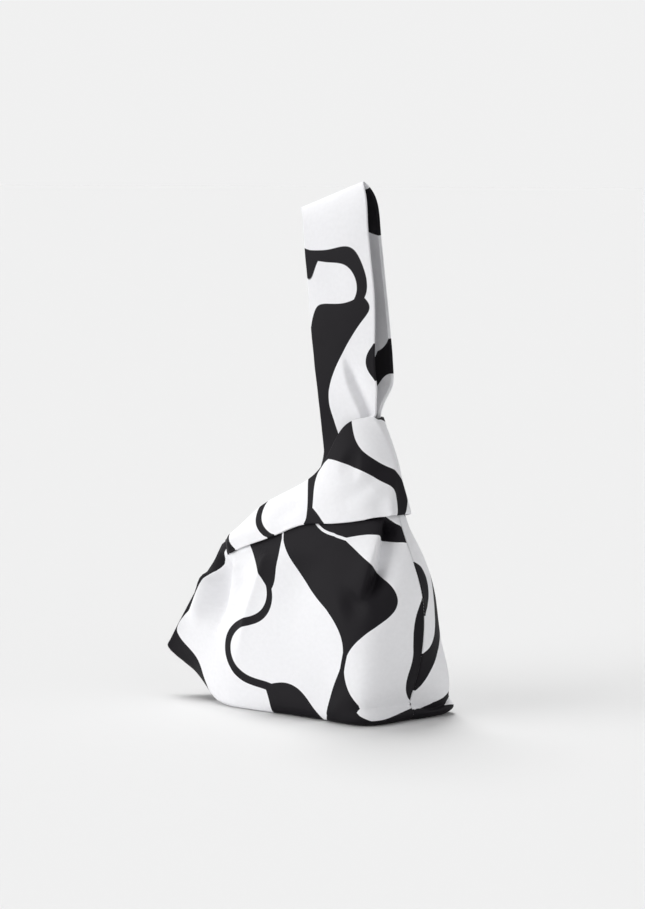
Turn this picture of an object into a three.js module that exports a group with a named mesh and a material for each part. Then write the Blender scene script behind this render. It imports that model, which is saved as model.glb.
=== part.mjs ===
import * as THREE from 'three';

// Japanese knot bag: a boxed cloth body whose long handle is drawn up through its short one.
// Millimetres, +Z up. The front faces -Y, the raised prow end points to -X, the boxed gusset to +X.

// Cloth layers, from the outside in
const OUTER_CLOTH = 1.0;
const INTERLINING = 1.0;
const LINING_CLOTH = 0.8;
const LAYER_GAP = 0.3;
const SEAM_GAP = 0.3; // between two sewn edges

// Body
const BODY_LENGTH = 270; // prow tip to the fullest part of the gusset
const BASE_DEPTH = 102; // front to back at the gusset
const SIDE_HEIGHT = 184; // floor to the end of the gusset's side seam
const PROW_SWING = 35; // how far the prow tip is swung towards the front
const SWING_LENGTH = 155; // stretch of the body, from the prow tip, that swings
const GUSSET_SKEW = 14; // how far the gusset's two corners stand askew, the back one outwards

// Mouth and neck: the neck is the root of the long handle, gathered inside the short one
const MOUTH_GAP = 18; // across the mouth, outside to outside
const NECK_WIDTH = 58;
const NECK_OFFSET = 54; // middle of the neck from the middle of the body
const NECK_GATHER = 18; // neck thickness, outside to outside, where the loop holds it
const NECK_SHOW = 6; // neck left showing above the loop at the top of its travel
const NECK_EDGE = 5; // thickness of the neck's gusset-side edge
const GATHER_DROP = 30; // neck top to the middle of the gathers
const GATHER_FALL = 8; // how much lower the gathers lie on the prow side, and higher on the other

// Short handle: a loop that runs from the prow round the neck
const LOOP_HEIGHT = 86; // side seam's end to the top of the loop round the neck
const LOOP_TRAVEL = 8; // how far the loop can be eased up the neck
const LOOP_FIT = 0.6; // between the loop and the cloth that it goes round
const LOOP_BULGE = 2; // how far the band swells between its edges
const LOOP_SIDE_ROOM = 2; // slack beside the neck at the loop's top
const LOOP_STANDOFF = 9; // slack in front of the neck where the band first meets it

// Long handle: one loop of strap that folds over on the neck
const STRAP_WIDTH = 72;
const HANDLE_RISE = 179; // fold line to the middle of the loop's top
const HANDLE_GAP = 30; // widest space across the loop, outside to outside
const HANDLE_LEAN = 21; // how far the top leans towards the prow
const HANDLE_SLANT = 22; // height of the top's gusset side over its prow side
const FOLD_GAP = 0.4; // between the neck and the rounded foot of the handle
const FOOT_RISE = 6; // straight stretch of the handle's foot, which clears the neck when it folds over

// Facets between two stations or two rows of control points
const STATION_STEPS = 3;
const ROW_STEPS = 2;
const STRAP_STEPS = 4;
const BAND_STEPS = 4;
const LEG_STEPS = 3;

const PROW_TIP = -BODY_LENGTH / 2;
const CLOTH_STACK = OUTER_CLOTH + INTERLINING + LINING_CLOTH + 2 * LAYER_GAP;
const PINCH_SHARE = 0.85; // share of the half depth that the layers may fill in a pinched seam
const FOLD_RADIUS = CLOTH_STACK + LAYER_GAP;
const NECK_PINCH = 2 * FOLD_RADIUS;
const LOOP_TOP = SIDE_HEIGHT + LOOP_HEIGHT;
const NECK_TOP = LOOP_TOP + LOOP_TRAVEL + NECK_SHOW;
const FOLD_HEIGHT = NECK_TOP + FOLD_RADIUS + FOLD_GAP;

// Points are (x, half, z): half is the distance from the bag's middle surface, the same on both sides.

// A point of the body, in shares of its length, half depth and side height
function bodyPoint(along, deep, high) {
  const x = PROW_TIP + along * BODY_LENGTH;
  return new THREE.Vector3(x, deep * BASE_DEPTH / 2, high * SIDE_HEIGHT);
}

// A point of the mouth's rim
function rimPoint(along, high) {
  const point = bodyPoint(along, 0, high);
  point.y = MOUTH_GAP / 2;
  return point;
}

// A point of the neck: across is the share of its width, below the drop from its top
function neckPoint(across, thickness, below) {
  const x = NECK_OFFSET + (across - 0.5) * NECK_WIDTH;
  return new THREE.Vector3(x, thickness / 2, NECK_TOP - below);
}

// A point of the neck's gathers: fall is how much lower it lies than their middle
function gatherPoint(across, fall) {
  return neckPoint(across, NECK_GATHER, GATHER_DROP + fall);
}

// Stations from the prow seam round the front to the gusset seam. Each runs down from the rim through
// the gathers, the line of the band, the upper and lower belly, the base's shoulder and edge to the
// seam under the base.
const bodyStations = [
  // prow seam
  [
    bodyPoint(0.18, 0, 0.78), bodyPoint(0.165, 0, 0.735), bodyPoint(0.15, 0, 0.69), bodyPoint(0.11, 0, 0.57),
    bodyPoint(0.06, 0, 0.43), bodyPoint(0.02, 0, 0.31), bodyPoint(0, 0, 0.245), bodyPoint(0.022, 0, 0.2),
  ],
  // hollow behind the prow
  [
    rimPoint(0.26, 0.835), bodyPoint(0.25, 0.22, 0.79), bodyPoint(0.242, 0.28, 0.735),
    bodyPoint(0.185, 0.28, 0.57), bodyPoint(0.162, 0.3, 0.38), bodyPoint(0.146, 0.38, 0.17),
    bodyPoint(0.15, 0.33, 0.085), bodyPoint(0.16, 0, 0.05),
  ],
  // ridge at the front's prow end
  [
    rimPoint(0.48, 0.99), bodyPoint(0.47, 0.35, 0.93), bodyPoint(0.45, 0.6, 0.855),
    bodyPoint(0.4, 0.8, 0.56), bodyPoint(0.358, 0.89, 0.3), bodyPoint(0.31, 0.88, 0.07),
    bodyPoint(0.295, 0.76, 0), bodyPoint(0.31, 0, 0),
  ],
  // front below the mouth's end
  [
    rimPoint(0.57, 1.15), bodyPoint(0.575, 0.31, 1.055), bodyPoint(0.582, 0.61, 0.93),
    bodyPoint(0.587, 0.84, 0.61), bodyPoint(0.587, 0.95, 0.335), bodyPoint(0.582, 0.99, 0.065),
    bodyPoint(0.58, 0.84, 0), bodyPoint(0.58, 0, 0),
  ],
  // front below the neck
  [
    neckPoint(0, NECK_PINCH, 0), gatherPoint(0.08, GATHER_FALL), bodyPoint(0.726, 0.61, 0.955),
    bodyPoint(0.748, 0.88, 0.625), bodyPoint(0.756, 0.98, 0.35), bodyPoint(0.756, 1, 0.065),
    bodyPoint(0.752, 0.85, 0), bodyPoint(0.74, 0, 0),
  ],
  // corner between front and gusset
  [
    neckPoint(0.36, NECK_PINCH, 0), gatherPoint(0.47, 0), bodyPoint(0.84, 0.51, 0.98),
    bodyPoint(0.9, 0.78, 0.65), bodyPoint(0.927, 0.93, 0.36), bodyPoint(0.933, 1, 0.07),
    bodyPoint(0.915, 0.85, 0), bodyPoint(0.87, 0, 0),
  ],
  // half gusset
  [
    neckPoint(0.7, NECK_PINCH, 0), gatherPoint(0.81, -GATHER_FALL), bodyPoint(0.885, 0.275, 0.995),
    bodyPoint(0.96, 0.45, 0.66), bodyPoint(0.972, 0.51, 0.37), bodyPoint(0.965, 0.55, 0.1),
    bodyPoint(0.945, 0.47, 0), bodyPoint(0.9, 0, 0),
  ],
  // gusset seam
  [
    neckPoint(1, NECK_EDGE, 0), neckPoint(1, NECK_EDGE, GATHER_DROP - GATHER_FALL), bodyPoint(0.885, 0, 1),
    bodyPoint(0.974, 0, 0.705), bodyPoint(1, 0, 0.49), bodyPoint(0.97, 0, 0.195),
    bodyPoint(0.94, 0, 0.065), bodyPoint(0.918, 0, 0.015),
  ],
];
const BAND_ROW = 2; // control row that the band's lower edge follows
const BAND_STATION = 1; // station where the band leaves the body

// A smooth row of points through control points, with so many steps between two of them
function through(points, steps) {
  const curve = new THREE.CatmullRomCurve3(points);
  return curve.getPoints((points.length - 1) * steps);
}

// A face: rows of points that run along +X, the first row on top, with the normals that point out of it.
// seams names the edges that meet the other half of the bag, where the normals lie in the middle surface.
function makeFace(rows, seams) {
  const last = rows.length - 1;
  const end = rows[0].length - 1;
  const normals = rows.map((row, j) => row.map((point, i) => {
    const along = row[Math.min(i + 1, end)].clone().sub(row[Math.max(i - 1, 0)]);
    const down = rows[Math.min(j + 1, last)][i].clone().sub(rows[Math.max(j - 1, 0)][i]);
    const normal = along.cross(down).normalize();
    const onSeam = (seams.left && i === 0) || (seams.right && i === end)
      || (seams.top && j === 0) || (seams.bottom && j === last);
    if (onSeam) normal.setY(0).normalize();
    normal.onSeam = onSeam;
    return normal;
  }));
  return { rows, normals };
}

// The point that lies under a face by a depth, less where the two sides pinch the cloth together
function under(point, normal, depth) {
  const room = normal.y > 0 ? PINCH_SHARE * point.y / (normal.y * CLOTH_STACK) : 1;
  const moved = point.clone().addScaledVector(normal, -depth * Math.min(1, room));
  if (normal.onSeam) moved.y += SEAM_GAP / 2;
  moved.z = Math.max(moved.z, depth);
  return moved;
}

// The place of a point on the front (-1) or the back (+1): the prow end swings towards the front,
// and the gusset stands askew
function place(point, side) {
  const y = side * point.y;
  const toProw = Math.max(0, (PROW_TIP + SWING_LENGTH - point.x) / SWING_LENGTH);
  const toGusset = Math.max(0, 2 * point.x / BODY_LENGTH);
  const skewed = point.x + GUSSET_SKEW * toGusset * 2 * y / BASE_DEPTH;
  return [skewed, y - PROW_SWING * toProw ** 2, point.z];
}

// A closed sheet of cloth under a face, between two depths, on the front (-1) or the back (+1).
// foot shapes the last row of points where a piece needs it.
function sheetGeometry(face, depth, thickness, side, foot) {
  const count = face.rows.length;
  const width = face.rows[0].length;
  const positions = [];
  const indices = [];
  for (const level of [depth, depth + thickness]) {
    face.rows.forEach((row, j) => row.forEach((point, i) => {
      const moved = under(point, face.normals[j][i], level);
      if (foot && j === count - 1) foot(moved);
      positions.push(...place(moved, side));
    }));
  }
  const quad = (a, b, c, d) => indices.push(a, b, c, b, d, c);
  const outside = (j, i) => j * width + i;
  const inside = (j, i) => count * width + j * width + i;
  for (let j = 0; j < count - 1; j++) {
    for (let i = 0; i < width - 1; i++) {
      quad(outside(j, i), outside(j, i + 1), outside(j + 1, i), outside(j + 1, i + 1));
      quad(inside(j, i), inside(j + 1, i), inside(j, i + 1), inside(j + 1, i + 1));
    }
    quad(inside(j, 0), outside(j, 0), inside(j + 1, 0), outside(j + 1, 0));
    quad(outside(j, width - 1), inside(j, width - 1), outside(j + 1, width - 1), inside(j + 1, width - 1));
  }
  for (let i = 0; i < width - 1; i++) {
    quad(inside(0, i), inside(0, i + 1), outside(0, i), outside(0, i + 1));
    quad(outside(count - 1, i), outside(count - 1, i + 1), inside(count - 1, i), inside(count - 1, i + 1));
  }
  if (side < 0) indices.reverse();
  const geometry = new THREE.BufferGeometry();
  geometry.setAttribute('position', new THREE.Float32BufferAttribute(positions, 3));
  geometry.setIndex(indices);
  geometry.computeVertexNormals();
  return geometry;
}

// Body: loft the stations along the bag, then from the rim to the seam under the base
function bodyFace() {
  const controlRows = bodyStations[0].map((_, row) => {
    return through(bodyStations.map((station) => station[row]), STATION_STEPS);
  });
  const columns = controlRows[0].map((_, i) => through(controlRows.map((row) => row[i]), ROW_STEPS));
  const rows = columns[0].map((_, j) => columns.map((column) => {
    return column[j].setZ(THREE.MathUtils.clamp(column[j].z, 0, NECK_TOP));
  }));
  return makeFace(rows, { left: true, right: true, bottom: true });
}

// Short handle: its lower edge lies on the body, its upper edge rises from the prow to the loop's top
function bandFace(body) {
  const reach = CLOTH_STACK + LOOP_FIT;
  const from = BAND_STATION * STATION_STEPS;
  const row = BAND_ROW * ROW_STEPS;
  const lower = body.rows[row].slice(from).map((point, i) => {
    return point.clone().addScaledVector(body.normals[row][from + i], reach);
  });
  const hug = NECK_GATHER / 2 + reach;
  const neckSide = NECK_WIDTH / 2;
  const loopPoint = (across, half, high) => {
    return new THREE.Vector3(NECK_OFFSET + across, half, SIDE_HEIGHT + high * LOOP_HEIGHT);
  };
  const upper = through([
    bodyPoint(0.197, 0.18, 0.79),
    bodyPoint(0.37, 0.34, 0.975),
    bodyPoint(0.51, 0.4, 1.08),
    loopPoint(-0.6 * neckSide, hug + LOOP_STANDOFF, 0.47),
    loopPoint(0.2 * neckSide, hug + LOOP_STANDOFF / 2, 0.8),
    loopPoint(0.88 * neckSide, hug, 0.98),
    loopPoint(neckSide + reach + LOOP_SIDE_ROOM, 0, 1),
  ], STATION_STEPS);
  const rows = [];
  for (let j = 0; j <= BAND_STEPS; j++) {
    const share = j / BAND_STEPS;
    rows.push(upper.map((point, i) => {
      const outward = body.normals[row][from + i];
      const bulge = LOOP_BULGE * Math.sin(Math.PI * share);
      return point.clone().lerp(lower[i], share).addScaledVector(outward, bulge);
    }));
  }
  return makeFace(rows, { right: true });
}

// Long handle: one leg from the loop's top down to the fold line on the neck.
// Each row: shares of the rise, of the lean, of the gap and of the slant, then the width.
function handleFace(lean) {
  const footGap = 2 * FOLD_RADIUS / HANDLE_GAP;
  const legRows = [
    { rise: 1, lean: 1, gap: 0, slant: 1, width: STRAP_WIDTH * 0.88 },
    { rise: 0.95, lean: lean.arch, gap: 0.6, slant: 0.86, width: STRAP_WIDTH },
    { rise: 0.8, lean: lean.shoulder, gap: 0.87, slant: 0.5, width: STRAP_WIDTH },
    { rise: 0.47, lean: lean.middle, gap: 1, slant: 0.14, width: STRAP_WIDTH },
    { rise: 0.15, lean: lean.root, gap: 0.67, slant: 0, width: STRAP_WIDTH * 0.95 },
    { rise: FOOT_RISE / HANDLE_RISE, lean: 0, gap: footGap, slant: 0, width: NECK_WIDTH },
    { rise: 0, lean: 0, gap: footGap, slant: 0, width: NECK_WIDTH },
  ];
  const edge = (toGusset) => through(legRows.map((row) => new THREE.Vector3(
    NECK_OFFSET - row.lean * HANDLE_LEAN + toGusset * row.width / 2,
    row.gap * HANDLE_GAP / 2,
    FOLD_HEIGHT + row.rise * HANDLE_RISE + toGusset * row.slant * HANDLE_SLANT / 2,
  )), LEG_STEPS);
  const prowEdge = edge(-1);
  const gussetEdge = edge(1);
  const rows = prowEdge.map((start, j) => {
    const row = [];
    for (let i = 0; i <= STRAP_STEPS; i++) row.push(start.clone().lerp(gussetEdge[j], i / STRAP_STEPS));
    return row;
  });
  return makeFace(rows, { top: true });
}

// The foot of the handle is round about the fold line, so that it can turn on the neck
function roundFoot(point) {
  point.z = FOLD_HEIGHT - Math.sqrt(Math.max(0, FOLD_RADIUS ** 2 - point.y ** 2));
}

const layers = [
  { name: 'outer', thickness: OUTER_CLOTH, finish: { color: 0xf2f2f6, roughness: 0.75, metalness: 0 } },
  { name: 'interlining', thickness: INTERLINING, finish: { color: 0xe4e1da, roughness: 0.95, metalness: 0 } },
  { name: 'lining', thickness: LINING_CLOTH, finish: { color: 0xe9e9ef, roughness: 0.8, metalness: 0 } },
];

const frontLean = { arch: 0.67, shoulder: 0.36, middle: 0, root: -0.14 };
const backLean = { arch: 0.8, shoulder: 0.62, middle: 0.33, root: -0.07 };
const body = bodyFace();
const band = bandFace(body);
const pieces = [
  { name: 'body_front', face: body, side: -1 },
  { name: 'body_back', face: body, side: 1 },
  { name: 'short_handle_front', face: band, side: -1 },
  { name: 'short_handle_back', face: band, side: 1 },
  { name: 'long_handle_front', face: handleFace(frontLean), side: -1, foot: roundFoot },
  { name: 'long_handle_back', face: handleFace(backLean), side: 1, foot: roundFoot },
];

const bag = new THREE.Group();
for (const piece of pieces) {
  let depth = 0;
  for (const layer of layers) {
    const geometry = sheetGeometry(piece.face, depth, layer.thickness, piece.side, piece.foot);
    const mesh = new THREE.Mesh(geometry, new THREE.MeshStandardMaterial(layer.finish));
    mesh.name = `${piece.name}_${layer.name}`;
    bag.add(mesh);
    depth += layer.thickness + LAYER_GAP;
  }
}

export default bag;
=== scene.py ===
import math

import bpy
import numpy as np
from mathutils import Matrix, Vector, kdtree, noise


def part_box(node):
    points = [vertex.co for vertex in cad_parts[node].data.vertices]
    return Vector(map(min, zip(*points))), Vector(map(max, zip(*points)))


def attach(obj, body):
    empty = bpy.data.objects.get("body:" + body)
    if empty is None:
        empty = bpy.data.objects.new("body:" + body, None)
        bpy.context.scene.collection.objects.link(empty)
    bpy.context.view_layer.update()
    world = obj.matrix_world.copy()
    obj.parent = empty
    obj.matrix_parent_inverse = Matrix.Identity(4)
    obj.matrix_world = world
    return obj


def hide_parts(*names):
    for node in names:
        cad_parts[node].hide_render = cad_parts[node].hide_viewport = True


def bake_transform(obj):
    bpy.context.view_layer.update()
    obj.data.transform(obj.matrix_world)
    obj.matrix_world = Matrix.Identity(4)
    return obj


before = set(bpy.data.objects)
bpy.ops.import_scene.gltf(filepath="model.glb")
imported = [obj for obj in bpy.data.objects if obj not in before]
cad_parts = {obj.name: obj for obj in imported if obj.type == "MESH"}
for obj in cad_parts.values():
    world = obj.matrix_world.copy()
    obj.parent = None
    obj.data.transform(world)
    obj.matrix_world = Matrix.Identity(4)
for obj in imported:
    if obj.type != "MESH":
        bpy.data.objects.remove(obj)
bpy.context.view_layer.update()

scene = bpy.context.scene
scene.view_settings.view_transform = "Standard"


# camera, where the photo was taken from
photoView = {
    "azimuth": 38.0, "elevation": 6.1, "distance": 2.4, "aim": (0.0345, -0.019, 0.235),
    "lens": 105.6, "sensor": 36.0,
}


def outwards(azimuth, elevation):
    a, e = math.radians(azimuth), math.radians(elevation)
    return Vector((math.sin(a) * math.cos(e), -math.cos(a) * math.cos(e), math.sin(e)))


def addCamera(view):
    back = outwards(view["azimuth"], view["elevation"])
    data = bpy.data.cameras.new("photo_camera")
    data.lens = view["lens"]
    data.sensor_width = view["sensor"]
    camera = bpy.data.objects.new("photo_camera", data)
    camera.location = Vector(view["aim"]) + back * view["distance"]
    camera.rotation_euler = (-back).to_track_quat("-Z", "Y").to_euler()
    scene.collection.objects.link(camera)
    scene.camera = camera


addCamera(photoView)


# studio: a lamp high behind on the left, a wide low one in front, a weak one on the right, fill, pale table
studio = {
    "fill": 0.38, "backdrop": 0.875,
    "lamps": ({"name": "high_lamp", "energy": 1.95, "azimuth": -122.0, "elevation": 66.0, "spread": 26.0},
              {"name": "front_lamp", "energy": 1.9, "azimuth": -34.0, "elevation": 17.0, "spread": 52.0},
              {"name": "side_lamp", "energy": 0.46, "azimuth": 88.0, "elevation": 20.0, "spread": 60.0}),
    "floorTone": 0.74, "floorReach": 60.0, "floorDrop": 0.0004, "tableFront": -1.15, "tableSide": 1.05,
    "below": 0.08, "horizon": 0.02,
}


def node(tree, kind, **settings):
    made = tree.nodes.new(kind)
    for key, value in settings.items():
        setattr(made, key, value)
    return made


def addStudio(spec):
    world = bpy.data.worlds.new("studio")
    scene.world = world
    world.use_nodes = True
    tree = world.node_tree
    tree.nodes.clear()
    path = node(tree, "ShaderNodeLightPath")
    seen = node(tree, "ShaderNodeMath", operation="MAXIMUM")
    seenThrough = node(tree, "ShaderNodeMath", operation="MAXIMUM")
    fill = node(tree, "ShaderNodeBackground")
    fill.inputs["Color"].default_value = (1, 1, 1, 1)
    way = node(tree, "ShaderNodeTexCoord")
    height = node(tree, "ShaderNodeSeparateXYZ")
    level = node(tree, "ShaderNodeMapRange")
    level.inputs["From Min"].default_value = -spec["horizon"]
    level.inputs["From Max"].default_value = spec["horizon"]
    level.inputs["To Min"].default_value = spec["below"]
    level.inputs["To Max"].default_value = spec["fill"]
    backdrop = node(tree, "ShaderNodeBackground")
    backdrop.inputs["Color"].default_value = (spec["backdrop"],) * 3 + (1,)
    mix = node(tree, "ShaderNodeMixShader")
    out = node(tree, "ShaderNodeOutputWorld")
    link = tree.links.new
    link(way.outputs["Generated"], height.inputs[0])
    link(height.outputs["Z"], level.inputs["Value"])
    link(level.outputs[0], fill.inputs["Strength"])
    link(path.outputs["Is Camera Ray"], seen.inputs[0])
    link(path.outputs["Is Glossy Ray"], seen.inputs[1])
    link(seen.outputs[0], seenThrough.inputs[0])
    link(path.outputs["Is Transmission Ray"], seenThrough.inputs[1])
    link(seenThrough.outputs[0], mix.inputs["Fac"])
    link(fill.outputs[0], mix.inputs[1])
    link(backdrop.outputs[0], mix.inputs[2])
    link(mix.outputs[0], out.inputs["Surface"])

    for lamp in spec["lamps"]:
        light = bpy.data.lights.new(lamp["name"], "SUN")
        light.energy = lamp["energy"]
        light.angle = math.radians(lamp["spread"])
        stand = bpy.data.objects.new(lamp["name"], light)
        shine = -outwards(lamp["azimuth"], lamp["elevation"])
        stand.rotation_euler = shine.to_track_quat("-Z", "Y").to_euler()
        scene.collection.objects.link(stand)

    # the table ends in front of the picture, so that less light comes up to the handle than to the body
    reach, drop = spec["floorReach"], -spec["floorDrop"]
    front, right = spec["tableFront"], spec["tableSide"]
    mesh = bpy.data.meshes.new("studio_floor")
    corners = [(-reach, front, drop), (right, front, drop), (right, reach, drop), (-reach, reach, drop)]
    mesh.from_pydata(corners, [], [(0, 1, 2, 3)])
    paper = bpy.data.materials.new("floor_paper")
    paper.use_nodes = True
    paper.node_tree.nodes.clear()
    diffuse = node(paper.node_tree, "ShaderNodeBsdfDiffuse")
    diffuse.inputs["Color"].default_value = (spec["floorTone"],) * 3 + (1,)
    surface = node(paper.node_tree, "ShaderNodeOutputMaterial")
    paper.node_tree.links.new(diffuse.outputs[0], surface.inputs["Surface"])
    mesh.materials.append(paper)
    floor = bpy.data.objects.new("studio_floor", mesh)
    scene.collection.objects.link(floor)


addStudio(studio)
print("studio ready")


# cotton sateen, white with a printed wave; the pattern map is the flat cut in metres
cottonPrint = {
    "white": (0.865, 0.865, 0.885, 1), "ink": (0.0052, 0.0042, 0.0062, 1),
    "waveSpacing": 0.090, "waveTurn": 68.0, "bend": 0.12, "bendScale": 6.0, "bendDetail": 0.6,
    "thinInk": 0.92, "broadInk": 0.05, "swellScale": 9.0, "swellRange": (0.34, 0.66), "inkEdge": 0.004,
    "thread": 0.00042, "threadWander": 0.6, "wanderScale": 0.4, "weaveDepth": 0.00006,
    "slubScale": 260.0, "slubDetail": 2.0, "slubDepth": 0.00005, "slubTone": (0.97, 1.03), "bump": 0.5,
    "roughWhite": 0.70, "roughInk": 0.64, "specular": 0.16, "sheen": 0.018, "sheenRough": 0.45,
}


def addPrint(tree, spec, uv, shift):
    link = tree.links.new
    move = node(tree, "ShaderNodeMapping")
    move.inputs["Location"].default_value = (shift[0], shift[1], 0)
    link(uv, move.inputs["Vector"])
    bend = node(tree, "ShaderNodeTexNoise", noise_dimensions="2D")
    bend.inputs["Scale"].default_value = spec["bendScale"]
    bend.inputs["Detail"].default_value = spec["bendDetail"]
    link(move.outputs[0], bend.inputs["Vector"])
    centre = node(tree, "ShaderNodeVectorMath", operation="SUBTRACT")
    centre.inputs[1].default_value = (0.5, 0.5, 0.5)
    link(bend.outputs["Color"], centre.inputs[0])
    sway = node(tree, "ShaderNodeVectorMath", operation="SCALE")
    sway.inputs["Scale"].default_value = 2 * spec["bend"]
    link(centre.outputs[0], sway.inputs[0])
    bent = node(tree, "ShaderNodeVectorMath", operation="ADD")
    link(move.outputs[0], bent.inputs[0])
    link(sway.outputs[0], bent.inputs[1])
    turn = node(tree, "ShaderNodeVectorMath", operation="DOT_PRODUCT")
    angle = math.radians(spec["waveTurn"])
    across = Vector((math.sin(angle), math.cos(angle), 0))
    turn.inputs[1].default_value = across / spec["waveSpacing"]
    link(bent.outputs[0], turn.inputs[0])
    fold = node(tree, "ShaderNodeMath", operation="PINGPONG")
    fold.inputs[1].default_value = 0.5
    link(turn.outputs["Value"], fold.inputs[0])
    swell = node(tree, "ShaderNodeTexNoise", noise_dimensions="2D")
    swell.inputs["Scale"].default_value = spec["swellScale"]
    swell.inputs["Detail"].default_value = 0.0
    link(move.outputs[0], swell.inputs["Vector"])
    limit = node(tree, "ShaderNodeMapRange")
    limit.inputs["From Min"].default_value = spec["swellRange"][0]
    limit.inputs["From Max"].default_value = spec["swellRange"][1]
    limit.inputs["To Min"].default_value = spec["thinInk"] / 2
    limit.inputs["To Max"].default_value = spec["broadInk"] / 2
    link(swell.outputs["Fac"], limit.inputs["Value"])
    over = node(tree, "ShaderNodeMath", operation="SUBTRACT")
    link(fold.outputs[0], over.inputs[0])
    link(limit.outputs[0], over.inputs[1])
    edge = node(tree, "ShaderNodeMapRange", interpolation_type="SMOOTHSTEP")
    edge.inputs["From Min"].default_value = -spec["inkEdge"] / 2
    edge.inputs["From Max"].default_value = spec["inkEdge"] / 2
    link(over.outputs[0], edge.inputs["Value"])
    return edge.outputs[0]


def cottonMaterial(name, spec, shift):
    material = bpy.data.materials.new(name)
    material.use_nodes = True
    tree = material.node_tree
    tree.nodes.clear()
    link = tree.links.new
    place = node(tree, "ShaderNodeUVMap", uv_map="pattern")
    uv = place.outputs[0]
    ink = addPrint(tree, spec, uv, shift)

    slub = node(tree, "ShaderNodeTexNoise", noise_dimensions="2D")
    slub.inputs["Scale"].default_value = spec["slubScale"]
    slub.inputs["Detail"].default_value = spec["slubDetail"]
    link(uv, slub.inputs["Vector"])
    tone = node(tree, "ShaderNodeMapRange")
    tone.inputs["To Min"].default_value = spec["slubTone"][0]
    tone.inputs["To Max"].default_value = spec["slubTone"][1]
    link(slub.outputs["Fac"], tone.inputs["Value"])
    ground = node(tree, "ShaderNodeMix", data_type="RGBA")
    ground.inputs["A"].default_value = spec["white"]
    ground.inputs["B"].default_value = spec["ink"]
    link(ink, ground.inputs["Factor"])
    shade = node(tree, "ShaderNodeVectorMath", operation="SCALE")
    link(ground.outputs["Result"], shade.inputs[0])
    link(tone.outputs[0], shade.inputs["Scale"])
    rough = node(tree, "ShaderNodeMapRange")
    rough.inputs["To Min"].default_value = spec["roughWhite"]
    rough.inputs["To Max"].default_value = spec["roughInk"]
    link(ink, rough.inputs["Value"])

    # warp and weft; the wave node turns by 20 radians a unit
    weave = []
    for direction in ("X", "Y"):
        wave = node(tree, "ShaderNodeTexWave", bands_direction=direction)
        wave.inputs["Scale"].default_value = 2 * math.pi / (20 * spec["thread"])
        wave.inputs["Distortion"].default_value = spec["threadWander"]
        wave.inputs["Detail Scale"].default_value = spec["wanderScale"]
        link(uv, wave.inputs["Vector"])
        weave.append(wave)
    cross = node(tree, "ShaderNodeMath", operation="MULTIPLY")
    link(weave[0].outputs["Fac"], cross.inputs[0])
    link(weave[1].outputs["Fac"], cross.inputs[1])
    slubBump = node(tree, "ShaderNodeBump")
    slubBump.inputs["Strength"].default_value = spec["bump"]
    slubBump.inputs["Distance"].default_value = spec["slubDepth"]
    link(slub.outputs["Fac"], slubBump.inputs["Height"])
    weaveBump = node(tree, "ShaderNodeBump")
    weaveBump.inputs["Strength"].default_value = spec["bump"]
    weaveBump.inputs["Distance"].default_value = spec["weaveDepth"]
    link(cross.outputs[0], weaveBump.inputs["Height"])
    link(slubBump.outputs[0], weaveBump.inputs["Normal"])

    shader = node(tree, "ShaderNodeBsdfPrincipled")
    shader.inputs["Specular IOR Level"].default_value = spec["specular"]
    shader.inputs["Sheen Weight"].default_value = spec["sheen"]
    shader.inputs["Sheen Roughness"].default_value = spec["sheenRough"]
    link(shade.outputs[0], shader.inputs["Base Color"])
    link(rough.outputs[0], shader.inputs["Roughness"])
    link(weaveBump.outputs[0], shader.inputs["Normal"])
    out = node(tree, "ShaderNodeOutputMaterial")
    link(shader.outputs[0], out.inputs["Surface"])
    return material


frontCotton = cottonMaterial("front_cotton_print", cottonPrint, (0.51, 1.45))
backCotton = cottonMaterial("back_cotton_print", cottonPrint, (2.4, 1.4))
bandCotton = cottonMaterial("band_cotton_print", cottonPrint, (3.3, 2.3))
print("cotton ready")


# smooth curve through control points; t counts the control points
def splineAt(points, t):
    points = np.asarray(points, float)
    t = np.asarray(t, float)
    count = len(points)
    step = np.linalg.norm(np.diff(points, axis=0), axis=1) ** 0.5 + 1e-6
    system = np.zeros((count, count))
    pull = np.zeros_like(points)
    system[0, 0] = system[-1, -1] = 1
    for i in range(1, count - 1):
        system[i, i - 1:i + 2] = step[i - 1], 2 * (step[i - 1] + step[i]), step[i]
        pull[i] = 6 * ((points[i + 1] - points[i]) / step[i] - (points[i] - points[i - 1]) / step[i - 1])
    curve = np.linalg.solve(system, pull)
    k = np.clip(np.floor(t).astype(int), 0, count - 2)
    f = (t - k)[:, None]
    square = step[k][:, None] ** 2 / 6
    bent = ((1 - f) ** 3 - (1 - f)) * curve[k] + (f ** 3 - f) * curve[k + 1]
    return (1 - f) * points[k] + f * points[k + 1] + square * bent


# steps along a curve that are evenly spaced on it, from one control point to another
fineSteps = 40


def evenSteps(points, first, last, count):
    t = np.linspace(first, last, fineSteps * max(1, int(last - first)) + 1)
    line = splineAt(points, t)
    far = np.concatenate([[0], np.cumsum(np.linalg.norm(np.diff(line, axis=0), axis=1))])
    return np.interp(np.linspace(0, far[-1], count + 1), far, t)


# bag, in millimetres: x along it, half out from its middle, z up
bodyLow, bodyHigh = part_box("body_front_outer")
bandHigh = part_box("short_handle_front_outer")[1]
mm = 0.001
bag = {
    "length": (bodyHigh.x - bodyLow.x) / mm, "depth": 102.0, "sideHeight": 184.0,
    "prowSwing": 35.0, "swingLength": 155.0, "gussetSkew": 14.0, "mouthGap": 18.0,
    "leftColumns": 100, "rightColumns": 64, "sideRows": 120, "seamRows": 16, "baseRows": 32, "legRows": 100,
    "seamSpan": 0.35,
}
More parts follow.
